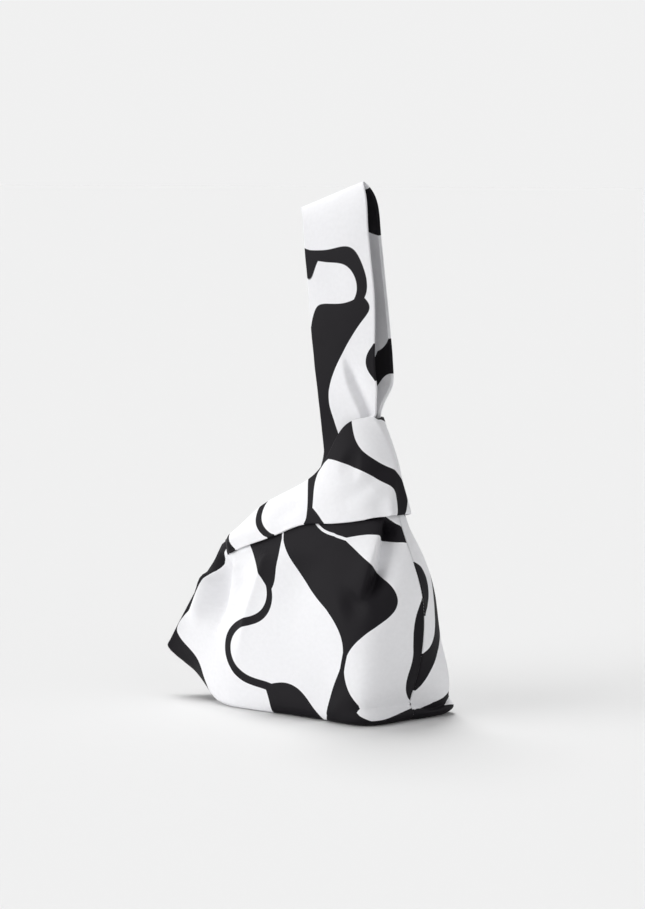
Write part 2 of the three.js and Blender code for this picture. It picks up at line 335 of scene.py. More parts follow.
# the legs' rows: height, middle, half gap at the prow and gusset edges, fall towards the prow, width
longHandle = {
    "top": (468.0, 31.2, 0.0, 0.0, 24.0, 70.0), "curl": 2.5, "curlFrom": 4.5, "curlFull": 15.0,
    "front": ((459.0, 37.8, 7.0, 7.0, 20.0, 72.5), (431.0, 45.2, 12.5, 12.5, 11.0, 74.5),
              (372.0, 54.0, 15.0, 15.0, 3.0, 76.0), (315.0, 56.2, 14.0, 13.5, 0.0, 69.6),
              (297.0, 57.0, 13.0, 10.5, 0.0, 67.0), (281.0, 55.5, 11.5, 7.0, 4.0, 61.0)),
    "back": ((459.0, 36.5, 6.5, 6.5, 20.0, 72.0), (431.0, 39.0, 12.0, 12.0, 11.0, 72.0),
             (372.0, 44.8, 14.5, 14.5, 3.0, 72.0), (315.0, 55.5, 11.0, 10.5, 0.0, 70.0),
             (297.0, 56.5, 10.5, 8.5, 0.0, 69.0), (281.0, 55.5, 10.0, 5.0, 4.0, 61.0)),
}
neck = {"middle": 54.0, "width": 58.0, "half": 9.0}
loop = {
    "top": bandHigh.z / mm, "fit": 0.6, "standoff": 9.0, "cling": 2.5, "sideRoom": 2.0, "bulge": 3.0,
    "rootTaper": 16.0, "rootRoom": 0.12, "flush": 0.35, "clear": 0.4, "settleSteps": 4,
    "facing": 0.35, "facingOver": 0.4, "near": 18.0, "nearOver": 6.0, "columns": 120, "rows": 44,
}
shell = {
    "outer": 1.9, "between": 0.25, "lining": 0.9, "pinch": 0.85, "leastRoom": 0.05, "level": 0.001,
    "edgeGap": 0.06, "edgeSteps": 4, "edgeRoom": 0.25, "edgeEase": 4.0, "edgeBlur": 1.5, "deeperInset": 0.4,
    "seamLean": 0.25, "seamLeanOver": 0.35,
}
stack = shell["outer"] + shell["between"] + shell["lining"]


def bodyPoint(along, deep, high):
    return (bag["length"] * (along - 0.5), deep * bag["depth"] / 2, high * bag["sideHeight"])


def rimPoint(along, high):
    return (bag["length"] * (along - 0.5), bag["mouthGap"] / 2, high * bag["sideHeight"])


# stations from the prow seam round to the gusset seam; each runs down through the rim or neck, gathers,
# band line, upper and lower belly, shoulder, boxed seam, roll and edge of the base to the seam under it
neckCorner = 4
neckAcross = (0.0, 0.36, 0.7, 1.0)
bandRow, boxedRow = 2, 6
stations = np.array([
    [bodyPoint(0.18, 0, 0.78), bodyPoint(0.165, 0, 0.735), bodyPoint(0.15, 0, 0.69),
     bodyPoint(0.1, 0, 0.57), bodyPoint(0.049, 0, 0.43), bodyPoint(0.009, 0, 0.31),
     bodyPoint(-0.004, 0, 0.27), bodyPoint(-0.011, 0, 0.245), bodyPoint(-0.003, 0, 0.22),
     bodyPoint(0.014, 0, 0.195)],
    [rimPoint(0.26, 0.835), bodyPoint(0.25, 0.22, 0.79), bodyPoint(0.242, 0.28, 0.735),
     bodyPoint(0.185, 0.28, 0.57), bodyPoint(0.162, 0.3, 0.38), bodyPoint(0.147, 0.38, 0.18),
     bodyPoint(0.147, 0.37, 0.125), bodyPoint(0.149, 0.34, 0.095), bodyPoint(0.152, 0.25, 0.07),
     bodyPoint(0.16, 0, 0.05)],
    [rimPoint(0.48, 0.99), bodyPoint(0.47, 0.35, 0.93), bodyPoint(0.45, 0.6, 0.855),
     bodyPoint(0.4, 0.8, 0.56), bodyPoint(0.358, 0.9, 0.3), bodyPoint(0.315, 0.92, 0.09),
     bodyPoint(0.303, 0.9, 0.035), bodyPoint(0.298, 0.86, 0.01), bodyPoint(0.296, 0.78, 0),
     bodyPoint(0.31, 0, 0)],
    [rimPoint(0.57, 1.15), bodyPoint(0.575, 0.31, 1.055), bodyPoint(0.582, 0.61, 0.93),
     bodyPoint(0.587, 0.85, 0.61), bodyPoint(0.587, 0.98, 0.335), bodyPoint(0.583, 1.07, 0.085),
     bodyPoint(0.582, 1.06, 0.035), bodyPoint(0.581, 1.02, 0.01), bodyPoint(0.58, 0.94, 0),
     bodyPoint(0.58, 0, 0)],
    [(28.0, 9.0, 238.0), (43.0, 21.0, 208.0), bodyPoint(0.726, 0.61, 0.955), bodyPoint(0.748, 0.88, 0.625),
     bodyPoint(0.756, 1.0, 0.35), bodyPoint(0.757, 1.07, 0.085), bodyPoint(0.756, 1.06, 0.035),
     bodyPoint(0.755, 1.02, 0.01), bodyPoint(0.752, 0.94, 0), bodyPoint(0.74, 0, 0)],
    [(46.0, 9.0, 246.0), (70.0, 17.0, 216.0), bodyPoint(0.835, 0.45, 0.98), bodyPoint(0.9, 0.76, 0.65),
     bodyPoint(0.927, 0.93, 0.36), bodyPoint(0.935, 1.0, 0.15), bodyPoint(0.93, 0.99, 0.085),
     bodyPoint(0.936, 1.0, 0.03), bodyPoint(0.918, 0.9, 0), bodyPoint(0.86, 0, 0)],
    [(66.0, 7.5, 255.0), (87.0, 11.0, 221.0), bodyPoint(0.88, 0.22, 0.995), bodyPoint(0.955, 0.44, 0.66),
     bodyPoint(0.972, 0.51, 0.37), bodyPoint(0.966, 0.54, 0.16), bodyPoint(0.951, 0.5, 0.085),
     bodyPoint(0.965, 0.52, 0.034), bodyPoint(0.945, 0.45, 0), bodyPoint(0.89, 0, 0)],
    [(83.0, 3.0, 262.0), (97.0, 1.2, 222.0), bodyPoint(0.893, 0, 1), bodyPoint(0.974, 0, 0.705),
     bodyPoint(1, 0, 0.49), bodyPoint(0.968, 0, 0.2), bodyPoint(0.944, 0, 0.078),
     bodyPoint(0.958, 0, 0.034), bodyPoint(0.94, 0, 0), bodyPoint(0.915, 0, 0)],
])

# the back is slimmer beside the knot, and its gusset droops over the boxed seam
backStations = stations.copy()
backStations[5:7, 2:7, 1] *= (0.92, 0.88, 0.84, 0.90, 0.95)
backStations[5, 2:4, 0] -= (1.0, 1.5)
backStations[5:7, boxedRow, 2] *= (0.9, 0.5)
backStations[5, boxedRow + 1, 2] += 2.0


# from the straight bag to its place: the prow swings to the front and the gusset stands askew
def placed(points, side):
    x, half, z = np.moveaxis(points, -1, 0)
    y = side * half
    toProw = np.maximum(0, (bag["swingLength"] - bag["length"] / 2 - x) / bag["swingLength"])
    toGusset = np.maximum(0, 2 * x / bag["length"])
    skewed = x + bag["gussetSkew"] * toGusset * 2 * y / bag["depth"]
    return np.stack([skewed, y - bag["prowSwing"] * toProw ** 2, z], axis=-1)


# how far a placed point is from the bag's middle
def halfOf(points, side):
    toProw = np.maximum(0, (bag["swingLength"] - bag["length"] / 2 - points[:, 0]) / bag["swingLength"])
    return side * (points[:, 1] + bag["prowSwing"] * toProw ** 2)


# control points of one leg of the long handle, from the top down to the neck, for a place across the strap
def legPoint(across, row):
    high, centre, prowHalf, gussetHalf, fall, width = row
    half = prowHalf + across * (gussetHalf - prowHalf)
    opened = max(0, half - longHandle["curlFrom"]) / (longHandle["curlFull"] - longHandle["curlFrom"])
    swell = opened * (1 - (2 * across - 1) ** 2)
    return (centre + (across - 0.5) * width, half + longHandle["curl"] * swell, high + (across - 0.5) * fall)


def legPoints(across, leg):
    return [legPoint(across, row) for row in longHandle[leg]]


# the loft: control rows along the bag, then columns from the base over the handle's top
def clothGrids(side):
    net = stations if side < 0 else backStations
    near, far = ("front", "back") if side < 0 else ("back", "front")
    left = evenSteps(net[:, 3], 0, neckCorner, bag["leftColumns"])
    right = evenSteps(net[:, 4], neckCorner, len(net) - 1, bag["rightColumns"])
    along = np.concatenate([left, right[1:]])
    rim = np.concatenate([net[:neckCorner + 1, 0], [legPoints(0, near)[-1]]])
    rows = [np.concatenate([splineAt(rim, left), splineAt(net[neckCorner:, 0], right[1:] - neckCorner)])]
    rows += [splineAt(net[:, r], along) for r in range(1, net.shape[1])]
    rows = np.array(rows)
    across = np.interp(right, np.arange(neckCorner, len(net)), neckAcross)
    seamStart, seamEnd, last = boxedRow - bag["seamSpan"], boxedRow + bag["seamSpan"], len(rows) - 1
    boxed = np.linspace(seamStart, seamEnd, bag["seamRows"])[1:-1]
    body, leg = [], []
    for c in range(len(along)):
        column = rows[:, c]
        fall = np.concatenate([evenSteps(column, 0, seamStart, bag["sideRows"]), boxed,
                               evenSteps(column, seamEnd, last, bag["baseRows"])])
        if c < bag["leftColumns"]:
            # towards the neck the rim's columns run on upwards as the handle's edge does
            turned = smooth(left[c] - neckCorner + 1)
            edge = np.array(legPoints(0, near)[-2:]) - net[neckCorner, 0]
            plain = (column[0] - column[1]) * np.array([[2.0], [1.0]])
            above = column[0] + turned * edge + (1 - turned) * plain
            body.append(splineAt(np.concatenate([above, column]), len(above) + fall))
            continue
        a = across[c - bag["leftColumns"]]
        down = legPoints(a, near)
        up = [(x, -half, z) for x, half, z in legPoints(a, far)[::-1]]
        line = np.array(up + [legPoint(a, longHandle["top"])] + down + list(column))
        top, foot = len(up), len(up) + 1 + len(down)
        body.append(splineAt(line, foot + fall))
        leg.append(splineAt(line, evenSteps(line, top, foot, bag["legRows"])))
    body = np.array(body).transpose(1, 0, 2)
    leg = np.array(leg).transpose(1, 0, 2)
    body[..., 2] = np.maximum(body[..., 2], 0)
    body[..., 1] = np.maximum(body[..., 1], 0)
    leg[0, :, 1] = 0
    leg[..., 1] = np.maximum(leg[..., 1], 0)
    return placed(body, side), placed(leg, side)


# lays a grid of cloth out flat, keeping the lengths between its points
flatten = {"step": 6, "rounds": 900, "pull": 0.3, "spine": 20}


def layFlat(points, start, held=None):
    flat = start.copy()
    rest = {}
    pairs = (((0, 1), (0, 0)), ((1, 0), (0, 0)), ((1, 1), (0, 0)), ((1, 0), (0, 1)))
    height, width = points.shape[:2]

    def cut(grid, shift, other):
        high, wide = max(shift[0], other[0]), max(shift[1], other[1])
        a = grid[shift[0]:height - high + shift[0], shift[1]:width - wide + shift[1]]
        b = grid[other[0]:height - high + other[0], other[1]:width - wide + other[1]]
        return a, b

    for pair in pairs:
        a, b = cut(points, *pair)
        rest[pair] = np.linalg.norm(a - b, axis=-1)
    for _ in range(flatten["rounds"]):
        move = np.zeros_like(flat)
        for pair in pairs:
            a, b = cut(flat, *pair)
            span = a - b
            far = np.linalg.norm(span, axis=-1) + 1e-9
            pull = span * (0.5 * (rest[pair] - far) / far)[..., None]
            toA, toB = cut(move, *pair)
            toA += pull
            toB -= pull
        flat += flatten["pull"] * move
        if held is not None:
            flat[held] = start[held]
    return flat


# fills a coarse map in, by the lengths along the cloth's rows and columns
def growGrid(coarse, points, r, c):
    along = lengthsDown(points[r].transpose(1, 0, 2)).T
    down = lengthsDown(points)
    wide = np.array([[np.interp(a, a[c], line[:, k]) for k in range(2)] for a, line in zip(along, coarse)])
    tall = np.array([[np.interp(d, d[r], wide[:, k, i]) for k in range(2)] for i, d in enumerate(down.T)])
    return tall.transpose(2, 0, 1)


def lengthsDown(points):
    steps = np.linalg.norm(np.diff(points, axis=0), axis=-1)
    return np.concatenate([np.zeros((1, points.shape[1])), np.cumsum(steps, axis=0)])


def picks(count, step):
    return np.unique(np.append(np.arange(0, count, step), count - 1))


# pattern map of a grid, in millimetres of flat cloth, worked out coarsely and then filled in; an edge that is
# given is held where it lies
def patternMap(points, spine, edge=None):
    r, c = (picks(count, flatten["step"]) for count in points.shape[:2])
    sub = points[np.ix_(r, c)]
    s = int(np.argmin(np.abs(c - spine)))
    alongRow = np.linalg.norm(np.diff(sub, axis=1), axis=-1)
    u = np.concatenate([np.zeros((len(r), 1)), np.cumsum(alongRow, axis=1)], axis=1)
    u -= u[:, s:s + 1]
    v = -np.concatenate([[0], np.cumsum(np.linalg.norm(np.diff(sub[:, s], axis=0), axis=1))])
    start = np.stack([u, np.repeat(v[:, None], len(c), axis=1)], axis=-1)
    held = None
    if edge is not None:
        last = edge[c]
        start = np.stack([u - u[-1] + last[None, :, 0], v[:, None] - v[-1] + last[None, :, 1]], axis=-1)
        held = (slice(-1, None), slice(None))
        start[-1] = last
    return growGrid(layFlat(sub, start, held), points, r, c)


# one cloth: body and handle grids that share the row at the neck
def clothOf(side):
    body, leg = clothGrids(side)
    corner = bag["leftColumns"]
    bodyMap = patternMap(body, corner + flatten["spine"])
    legMap = patternMap(leg, flatten["spine"], bodyMap[0, corner:])
    rows, columns = body.shape[:2]
    bodyIndex = np.arange(rows * columns).reshape(rows, columns)
    legIndex = rows * columns + np.arange((len(leg) - 1) * leg.shape[1]).reshape(len(leg) - 1, leg.shape[1])
    legIndex = np.concatenate([legIndex, bodyIndex[:1, corner:]])
    verts = np.concatenate([body.reshape(-1, 3), leg[:-1].reshape(-1, 3)])
    flat = np.concatenate([bodyMap.reshape(-1, 2), legMap[:-1].reshape(-1, 2)])
    return {"side": side, "verts": verts, "flat": flat, "body": bodyIndex, "leg": legIndex}


def quadsOf(grids, flip):
    quads = []
    for g in grids:
        q = np.stack([g[:-1, :-1], g[1:, :-1], g[1:, 1:], g[:-1, 1:]], axis=-1).reshape(-1, 4)
        quads.append(q[:, ::-1] if flip else q)
    return np.concatenate(quads)


def normalsOf(verts, quads):
    a, b, c, d = (verts[quads[:, k]] for k in range(4))
    face = np.cross(c - a, d - b)
    return unit(sum(byAxis(quads[:, k], face, len(verts)) for k in range(4)))


def byAxis(index, values, count):
    return np.stack([np.bincount(index, values[:, k], count) for k in range(3)], axis=-1)


def unit(vectors):
    return vectors / (np.linalg.norm(vectors, axis=-1, keepdims=True) + 1e-12)


def treeOf(places):
    tree = kdtree.KDTree(len(places))
    for i, place in enumerate(places):
        tree.insert(place, i)
    tree.balance()
    return tree


# index of the nearest of some places for each point, and how far away it is
def nearest(points, places):
    tree = treeOf(places)
    found = [tree.find(point) for point in points]
    return np.array([f[1] for f in found]), np.array([f[2] for f in found])


def blurred(places, values, radius):
    tree = treeOf(places)
    around = [[i for _, i, _ in tree.find_range(place, radius)] for place in places]
    return np.array([values[close].mean(axis=0) for close in around])


# closed sheet of some thickness, at a depth under a face, with rounded edges; it gets thinner where the face
# has less than its full room
def closedSheet(face, depth, thickness, name, material):
    verts, quads, flat = face["verts"], face["quads"], face["flat"]
    count = len(verts)
    normals = face["normals"]
    room = face["room"][:, None]
    edges = np.concatenate([quads[:, [k, (k + 1) % 4]] for k in range(4)])
    key = edges[:, 0].astype(np.int64) * count + edges[:, 1]
    twin = edges[:, 1].astype(np.int64) * count + edges[:, 0]
    rim = edges[~np.isin(key, twin)]
    run = unit(verts[rim[:, 1]] - verts[rim[:, 0]])
    sideways = sum(byAxis(rim[:, end], np.cross(run, normals[rim[:, end]]), count) for end in range(2))
    sideways = unit(sideways)
    border = np.unique(rim)
    sideways[border] = unit(blurred(verts[border], sideways[border], shell["edgeBlur"] * thickness))
    inset = thickness / 2 + shell["edgeGap"] + shell["deeperInset"] * depth
    close, far = nearest(verts, verts[border])
    ease = np.maximum(0, 1 - far / (shell["edgeEase"] * inset)) ** 2
    verts = verts - sideways[border][close] * (inset * ease)[:, None]
    top = verts - normals * depth * room
    bottom = verts - normals * (depth + thickness) * room
    layers = [top, bottom]
    rings = []
    renumberRim = np.full(count, -1)
    renumberRim[border] = np.arange(len(border))
    steps = shell["edgeSteps"]
    for k in range(1, steps):
        turn = math.pi * k / steps
        ring = top[border] + (bottom[border] - top[border]) * (1 - math.cos(turn)) / 2
        swell = math.sin(turn) * thickness / 2 * np.maximum(room[border], shell["edgeRoom"])
        ring = ring + sideways[border] * swell
        rings.append(2 * count + (k - 1) * len(border))
        layers.append(ring)
    faces = [quads, quads[:, ::-1] + count]
    chain = [(rim[:, 0], rim[:, 1])]
    for base in rings:
        chain.append((base + renumberRim[rim[:, 0]], base + renumberRim[rim[:, 1]]))
    chain.append((rim[:, 0] + count, rim[:, 1] + count))
    for (a0, a1), (b0, b1) in zip(chain[:-1], chain[1:]):
        faces.append(np.stack([a1, a0, b0, b1], axis=-1))
    allVerts = np.concatenate(layers)
    allVerts[:, 2] = np.maximum(allVerts[:, 2], 0)
    allFlat = np.concatenate([flat, flat] + [flat[border]] * len(rings))
    return meshObject(name, allVerts * mm, np.concatenate(faces), allFlat * mm, material)


def meshObject(name, verts, faces, flat, material):
    mesh = bpy.data.meshes.new(name)
    mesh.from_pydata(verts.tolist(), [], faces.tolist())
    layer = mesh.uv_layers.new(name="pattern")
    corner = np.zeros(len(mesh.loops), np.int32)
    mesh.loops.foreach_get("vertex_index", corner)
    layer.data.foreach_set("uv", flat[corner].astype(np.float32).ravel())
    mesh.polygons.foreach_set("use_smooth", np.ones(len(mesh.polygons), bool))
    mesh.materials.append(material)
    mesh.update()
    made = bpy.data.objects.new(name, mesh)
    scene.collection.objects.link(made)
    return made


# folds: a path over the cloth, how far they reach beside it, how far they stand out, and fading at both ends
folds = {
    "front": [
        {"kind": "tuck", "reach": 15.0, "height": (4.5, -16.0), "fade": (0.08, 0.5),
         "path": ((101, -14, 182), (102.7, -22, 164), (102, -32, 140), (99.3, -39.5, 121), (94, -43, 108))},
        {"kind": "dent", "reach": 13.0, "height": -4.5, "fade": (0.4, 0.5),
         "path": ((96, -42, 116), (88, -45, 106), (76, -48, 98))},
        {"kind": "dent", "reach": 11.0, "height": -15.0, "fade": (0.2, 0.4),
         "path": ((-76, -25, 138), (-77, -31, 115), (-78, -36, 90), (-80, -41, 55))},
        {"kind": "dent", "reach": 10.0, "height": 9.0, "fade": (0.25, 0.4),
         "path": ((-92, -22, 124), (-98, -27, 102), (-104, -31, 80), (-108, -35, 60))},
        {"kind": "crease", "reach": 9.0, "height": 5.0, "fade": (0.1, 0.5),
         "path": ((-13, -36, 146), (-20, -42, 118), (-29, -46, 90), (-36.6, -50, 53), (-45, -52, 16))},
        {"kind": "dent", "reach": 12.0, "height": -5.0, "fade": (0.2, 0.6),
         "path": ((-58, -32, 127), (-48, -38, 112), (-42, -42, 98))},
        {"kind": "dent", "reach": 20.0, "height": -2.2, "fade": (0.3, 0.6),
         "path": ((30, -45, 150), (24, -48, 118), (10, -51, 90))},
        {"kind": "dent", "reach": 18.0, "height": -2.0, "fade": (0.5, 0.3),
         "path": ((52, -54, 60), (60, -54, 34), (78, -53, 12))},
        {"kind": "tuck", "reach": 12.0, "height": (2.0, -6.5), "fade": (0.5, 0.0),
         "path": ((55, -14, 330), (59, -12, 310), (64, -10, 292), (73, -8, 268))},
        {"kind": "dent", "reach": 16.0, "height": -1.6, "fade": (0.5, 0.5),
         "path": ((34, -14, 420), (40, -17, 395), (44, -17, 365))},
    ],
    "back": [
        {"kind": "tuck", "reach": 15.0, "height": (-6.0, 2.5), "fade": (0.12, 0.5),
         "path": ((88, 18, 182), (86, 30, 158), (80, 40, 130), (72, 46, 104))},
        {"kind": "dent", "reach": 15.0, "height": -5.0, "fade": (0.3, 0.45),
         "path": ((-80, 6, 130), (-84, 8, 100), (-90, 6, 66))},
        {"kind": "crease", "reach": 10.0, "height": 3.0, "fade": (0.1, 0.5),
         "path": ((-6, 30, 148), (-14, 40, 112), (-24, 45, 72), (-32, 48, 30))},
        {"kind": "dent", "reach": 20.0, "height": -3.0, "fade": (0.3, 0.6),
         "path": ((40, 46, 150), (34, 50, 112), (22, 52, 80))},
        {"kind": "tuck", "reach": 11.0, "height": (-4.0, 1.5), "fade": (0.5, 0.0),
         "path": ((50, 12, 330), (54, 11, 308), (58, 10, 288), (64, 9, 268))},
    ],
    "band": [
        {"kind": "dent", "reach": 12.0, "height": -3.0, "fade": (0.4, 0.4),
         "path": ((58, -24, 232), (70, -22, 227), (79, -19, 226))},
        {"kind": "dent", "reach": 8.0, "height": -4.5, "fade": (0.2, 0.5),
         "path": ((99, -5, 229), (93, -18, 215), (78, -28, 204), (52, -32, 196))},
        {"kind": "dent", "reach": 9.0, "height": 3.4, "fade": (0.3, 0.5),
         "path": ((96, -8, 212), (86, -22, 200), (66, -30, 191))},
        {"kind": "dent", "reach": 6.0, "height": -1.6, "fade": (0.3, 0.5),
         "path": ((-66, -28, 144), (-54, -30, 148), (-38, -30, 156))},
        {"kind": "dent", "reach": 10.0, "height": -2.0, "fade": (0.4, 0.5),
         "path": ((-20, -29, 170), (4, -30, 181), (26, -30, 190))},
        {"kind": "dent", "reach": 10.0, "height": -2.6, "fade": (0.3, 0.5),
         "path": ((96, 6, 222), (84, 20, 208), (60, 28, 200))},
    ],
}
boxedSeam = {"kind": "crease", "reach": 1.6, "height": -1.8, "fade": (0.15, 0.0), "start": 5.0, "points": 6}
tuckEdge, pathSteps = 1.3, 64
ripple = {
    "long": 58.0, "longHeight": 1.1, "short": 21.0, "shortHeight": 0.35, "still": 8.0,
    "pucker": 8.5, "puckerHeight": 0.12, "puckerReach": 3.0, "wander": 31.0, "wanderTurn": 2.5,
}
seamThread = {
    "pitch": 2.8, "stitch": 2.5, "width": 0.2, "depth": 0.66, "ply": 900.0, "plyDepth": 0.00008, "bump": 0.5,
    "white": (0.78, 0.78, 0.79), "tone": (0.86, 1.06), "rough": 0.62, "sheen": 0.1, "segments": 6, "rings": 5,
}


def smooth(value):
    value = np.clip(value, 0, 1)
    return value * value * (3 - 2 * value)


def foldHeight(face, fold):
    path = np.array(fold["path"], float)
    line = splineAt(path, np.linspace(0, len(path) - 1, pathSteps))
    run = unit(np.gradient(line, axis=0))
    at, far = nearest(face["verts"], line)
    share = at / (len(line) - 1)
    begin, end = np.maximum(fold["fade"], 1e-6)
    shape = smooth(share / begin) * smooth((1 - share) / end)
    if fold["kind"] == "crease":
        return fold["height"] * shape * np.exp(-far / fold["reach"])
    shape = shape * np.exp(-(far / fold["reach"]) ** 2)
    if fold["kind"] == "dent":
        return fold["height"] * shape
    beside = np.sum((face["verts"] - line[at]) * np.cross(face["normals"], run[at]), axis=1)
    first, second = fold["height"]
    return shape * (first + (second - first) * (0.5 + 0.5 * np.tanh(beside / tuckEdge)))


# moves a face along its normals: folds, slow ripples, and puckers beside the seams, which themselves stay put
def crumple(face, name, seamLines):
    height = sum(foldHeight(face, fold) for fold in folds[name])
    for point in range(len(height)):
        place = Vector(face["verts"][point])
        height[point] += ripple["longHeight"] * noise.noise(place / ripple["long"])
        height[point] += ripple["shortHeight"] * noise.noise(place / ripple["short"])
    for line in seamLines:
        at, far = nearest(face["verts"], line)
        gone = np.concatenate([[0], np.cumsum(np.linalg.norm(np.diff(line, axis=0), axis=1))])[at]
        wander = ripple["wanderTurn"] * np.sin(gone / ripple["wander"])
        wave = np.sin(2 * math.pi * gone / ripple["pucker"] + wander)
        beside = far / ripple["puckerReach"]
        height = height * smooth(far / ripple["still"])
        height += ripple["puckerHeight"] * wave * beside * np.exp(1 - beside)
    return height


def faceOf(verts, quads, flat):
    normals = normalsOf(verts, quads)
    return {"verts": verts, "quads": quads, "flat": flat, "normals": normals, "room": np.ones(len(verts))}


def clothAndLining(face, name, material):
    outer = closedSheet(face, 0, shell["outer"], name + "_cloth", material)
    lining = closedSheet(face, shell["outer"] + shell["between"], shell["lining"], name + "_lining", material)
    return outer, lining


clothPieces, faces = {}, {}
for side, name, material in ((-1, "front", frontCotton), (1, "back", backCotton)):
    cloth = clothOf(side)
    face = faceOf(cloth["verts"], quadsOf((cloth["body"], cloth["leg"]), side > 0), cloth["flat"])
    gusset = cloth["body"][:, -1]
    gusset = gusset[cloth["verts"][gusset, 2] < bag["sideHeight"]]
    seams = [cloth["body"][:, 0], gusset, cloth["body"][-1], cloth["leg"][0]]
    height = crumple(face, name, [cloth["verts"][line] for line in seams])
    net = stations if side < 0 else backStations
    boxed = splineAt(net[:, boxedRow], np.linspace(boxedSeam["start"], len(net) - 1, boxedSeam["points"]))
    height += foldHeight(face, {**boxedSeam, "path": placed(boxed, side)})
    verts = face["verts"] + face["normals"] * height[:, None]
    verts[:, 2] = np.maximum(verts[:, 2], 0)
    middle = halfOf(verts, side) < 0
    verts[middle, 1] -= side * halfOf(verts, side)[middle]
    face = faceOf(verts, face["quads"], face["flat"])
    onSeam = np.unique(np.concatenate(seams))
    lean = face["normals"][onSeam, 1]
    face["normals"][onSeam, 1] = lean * smooth((np.abs(lean) - shell["seamLean"]) / shell["seamLeanOver"])
    face["normals"] = unit(face["normals"])
    outwardness = face["normals"][:, 1] * side
    room = shell["pinch"] * halfOf(verts, side) / (np.maximum(outwardness, shell["level"]) * stack)
    face["room"] = np.clip(np.where(outwardness > shell["level"], room, 1), shell["leastRoom"], 1)
    clothPieces[name] = clothAndLining(face, name, material)
    faces[name] = face
    # the two cloths share their seams, so the last one's lines are sewn
    seamLines = [verts[line] - face["normals"][line] * seamThread["depth"] for line in seams]
    print(name + " cloth laid: %d points" % len(verts))


# short handle: one band from the prow round the neck and back, flush with the prow at its roots
def bandGrid():
    hug = neck["half"] + stack + loop["fit"]
    halfNeck = neck["width"] / 2
    lift = loop["top"] - bag["sideHeight"]

    def loopPoint(across, half, high):
        return (neck["middle"] + across, half, bag["sideHeight"] + high * lift)

    upper = np.array([
        (-81.0, 5.0, 147.5), (-70.0, 13.0, 155.0), (-57.0, 16.0, 165.0),
        bodyPoint(0.37, 0.34, 1.0), bodyPoint(0.51, 0.4, 1.105),
        loopPoint(-0.6 * halfNeck, hug + loop["standoff"], 0.49),
        loopPoint(0.2 * halfNeck, hug + loop["standoff"] / 2, 0.91),
        loopPoint(0.8 * halfNeck, hug - loop["cling"], 1.0),
        loopPoint(halfNeck + loop["sideRoom"], 0, 1),
    ])
    root = np.array([(-72.0, 14.0, 134.0), (-64.0, 19.0, 138.5), (-47.0, 26.5, 145.5)])
    reach = stack + loop["fit"]
    lower = []
    for net in (stations, backStations):
        line = net[1:, bandRow]
        run = np.gradient(line, axis=0)
        out = unit(np.stack([-run[:, 1], run[:, 0]], axis=-1))
        out[-1] = (1, 0)
        lower.append(np.concatenate([root, (line + np.pad(reach * out, ((0, 0), (0, 1))))[1:]]))
    mirror = np.array([1, -1, 1])
    upper = np.concatenate([upper, (upper * mirror)[-2::-1]])
    lower = np.concatenate([lower[0], (lower[1] * mirror)[-2::-1]])
    t = evenSteps((upper + lower) / 2, 0, len(upper) - 1, 2 * loop["columns"])
    high, low = splineAt(upper, t), splineAt(lower, t)
    share = np.linspace(0, 1, loop["rows"] + 1)[:, None, None]
    run = np.gradient((high + low) / 2, axis=0)
    out = unit(np.stack([-run[:, 1], run[:, 0], np.zeros(len(run))], axis=-1))
    grid = high * (1 - share) + low * share
    far = np.concatenate([[0], np.cumsum(np.linalg.norm(run, axis=1))[1:]])
    room = smooth(np.minimum(far, far[-1] - far) / loop["rootTaper"])
    return placed(grid + loop["bulge"] * np.sin(math.pi * share) * room[:, None] * out, -1), room


# lifts the band clear of the cloth that it lies on, and lays its roots flush
def settle(grid, normals, room):
    share = np.tile(room, (len(grid), 1))
    for face in faces.values():
        points = grid.reshape(-1, 3)
        at, far = nearest(points, face["verts"])
        normal = face["normals"][at]
        high = np.sum((points - face["verts"][at]) * normal, axis=1).reshape(share.shape)
        along = np.sum(normals * normal, axis=1).reshape(share.shape)
        facing = smooth((along - loop["facing"]) / loop["facingOver"])
        lies = facing * smooth((loop["near"] - far.reshape(share.shape)) / loop["nearOver"])
        need = loop["flush"] + share * (stack + loop["clear"] - loop["flush"])
        level = np.where(high < need, need, share * high + (1 - share) * need)
        move = (level - high) * lies
        for _ in range(loop["settleSteps"]):
            padded = np.pad(move, 1, mode="edge")
            around = (padded[2:, 1:-1] + padded[:-2, 1:-1] + padded[1:-1, 2:] + padded[1:-1, :-2]) / 4
            move = np.where(move > 0, np.maximum(move, around), around)
        grid = grid + normal.reshape(grid.shape) * move[..., None]
    return grid


band, bandRoom = bandGrid()
bandIndex = np.arange(band.shape[0] * band.shape[1]).reshape(band.shape[:2])
bandFlat = patternMap(band, loop["columns"]).reshape(-1, 2)
bandFace = faceOf(band.reshape(-1, 3), quadsOf((bandIndex,), False), bandFlat)
bandHeight = crumple(bandFace, "band", []) * np.tile(bandRoom, len(band))
bandVerts = bandFace["verts"] + bandFace["normals"] * bandHeight[:, None]
bandVerts = settle(bandVerts.reshape(band.shape), bandFace["normals"], bandRoom)
bandFace = faceOf(bandVerts.reshape(-1, 3), bandFace["quads"], bandFace["flat"])
bandFace["room"] = np.tile(loop["rootRoom"] + (1 - loop["rootRoom"]) * bandRoom, len(band))
bandOuter, bandLining = clothAndLining(bandFace, "short_handle", bandCotton)
print("short handle wrapped")


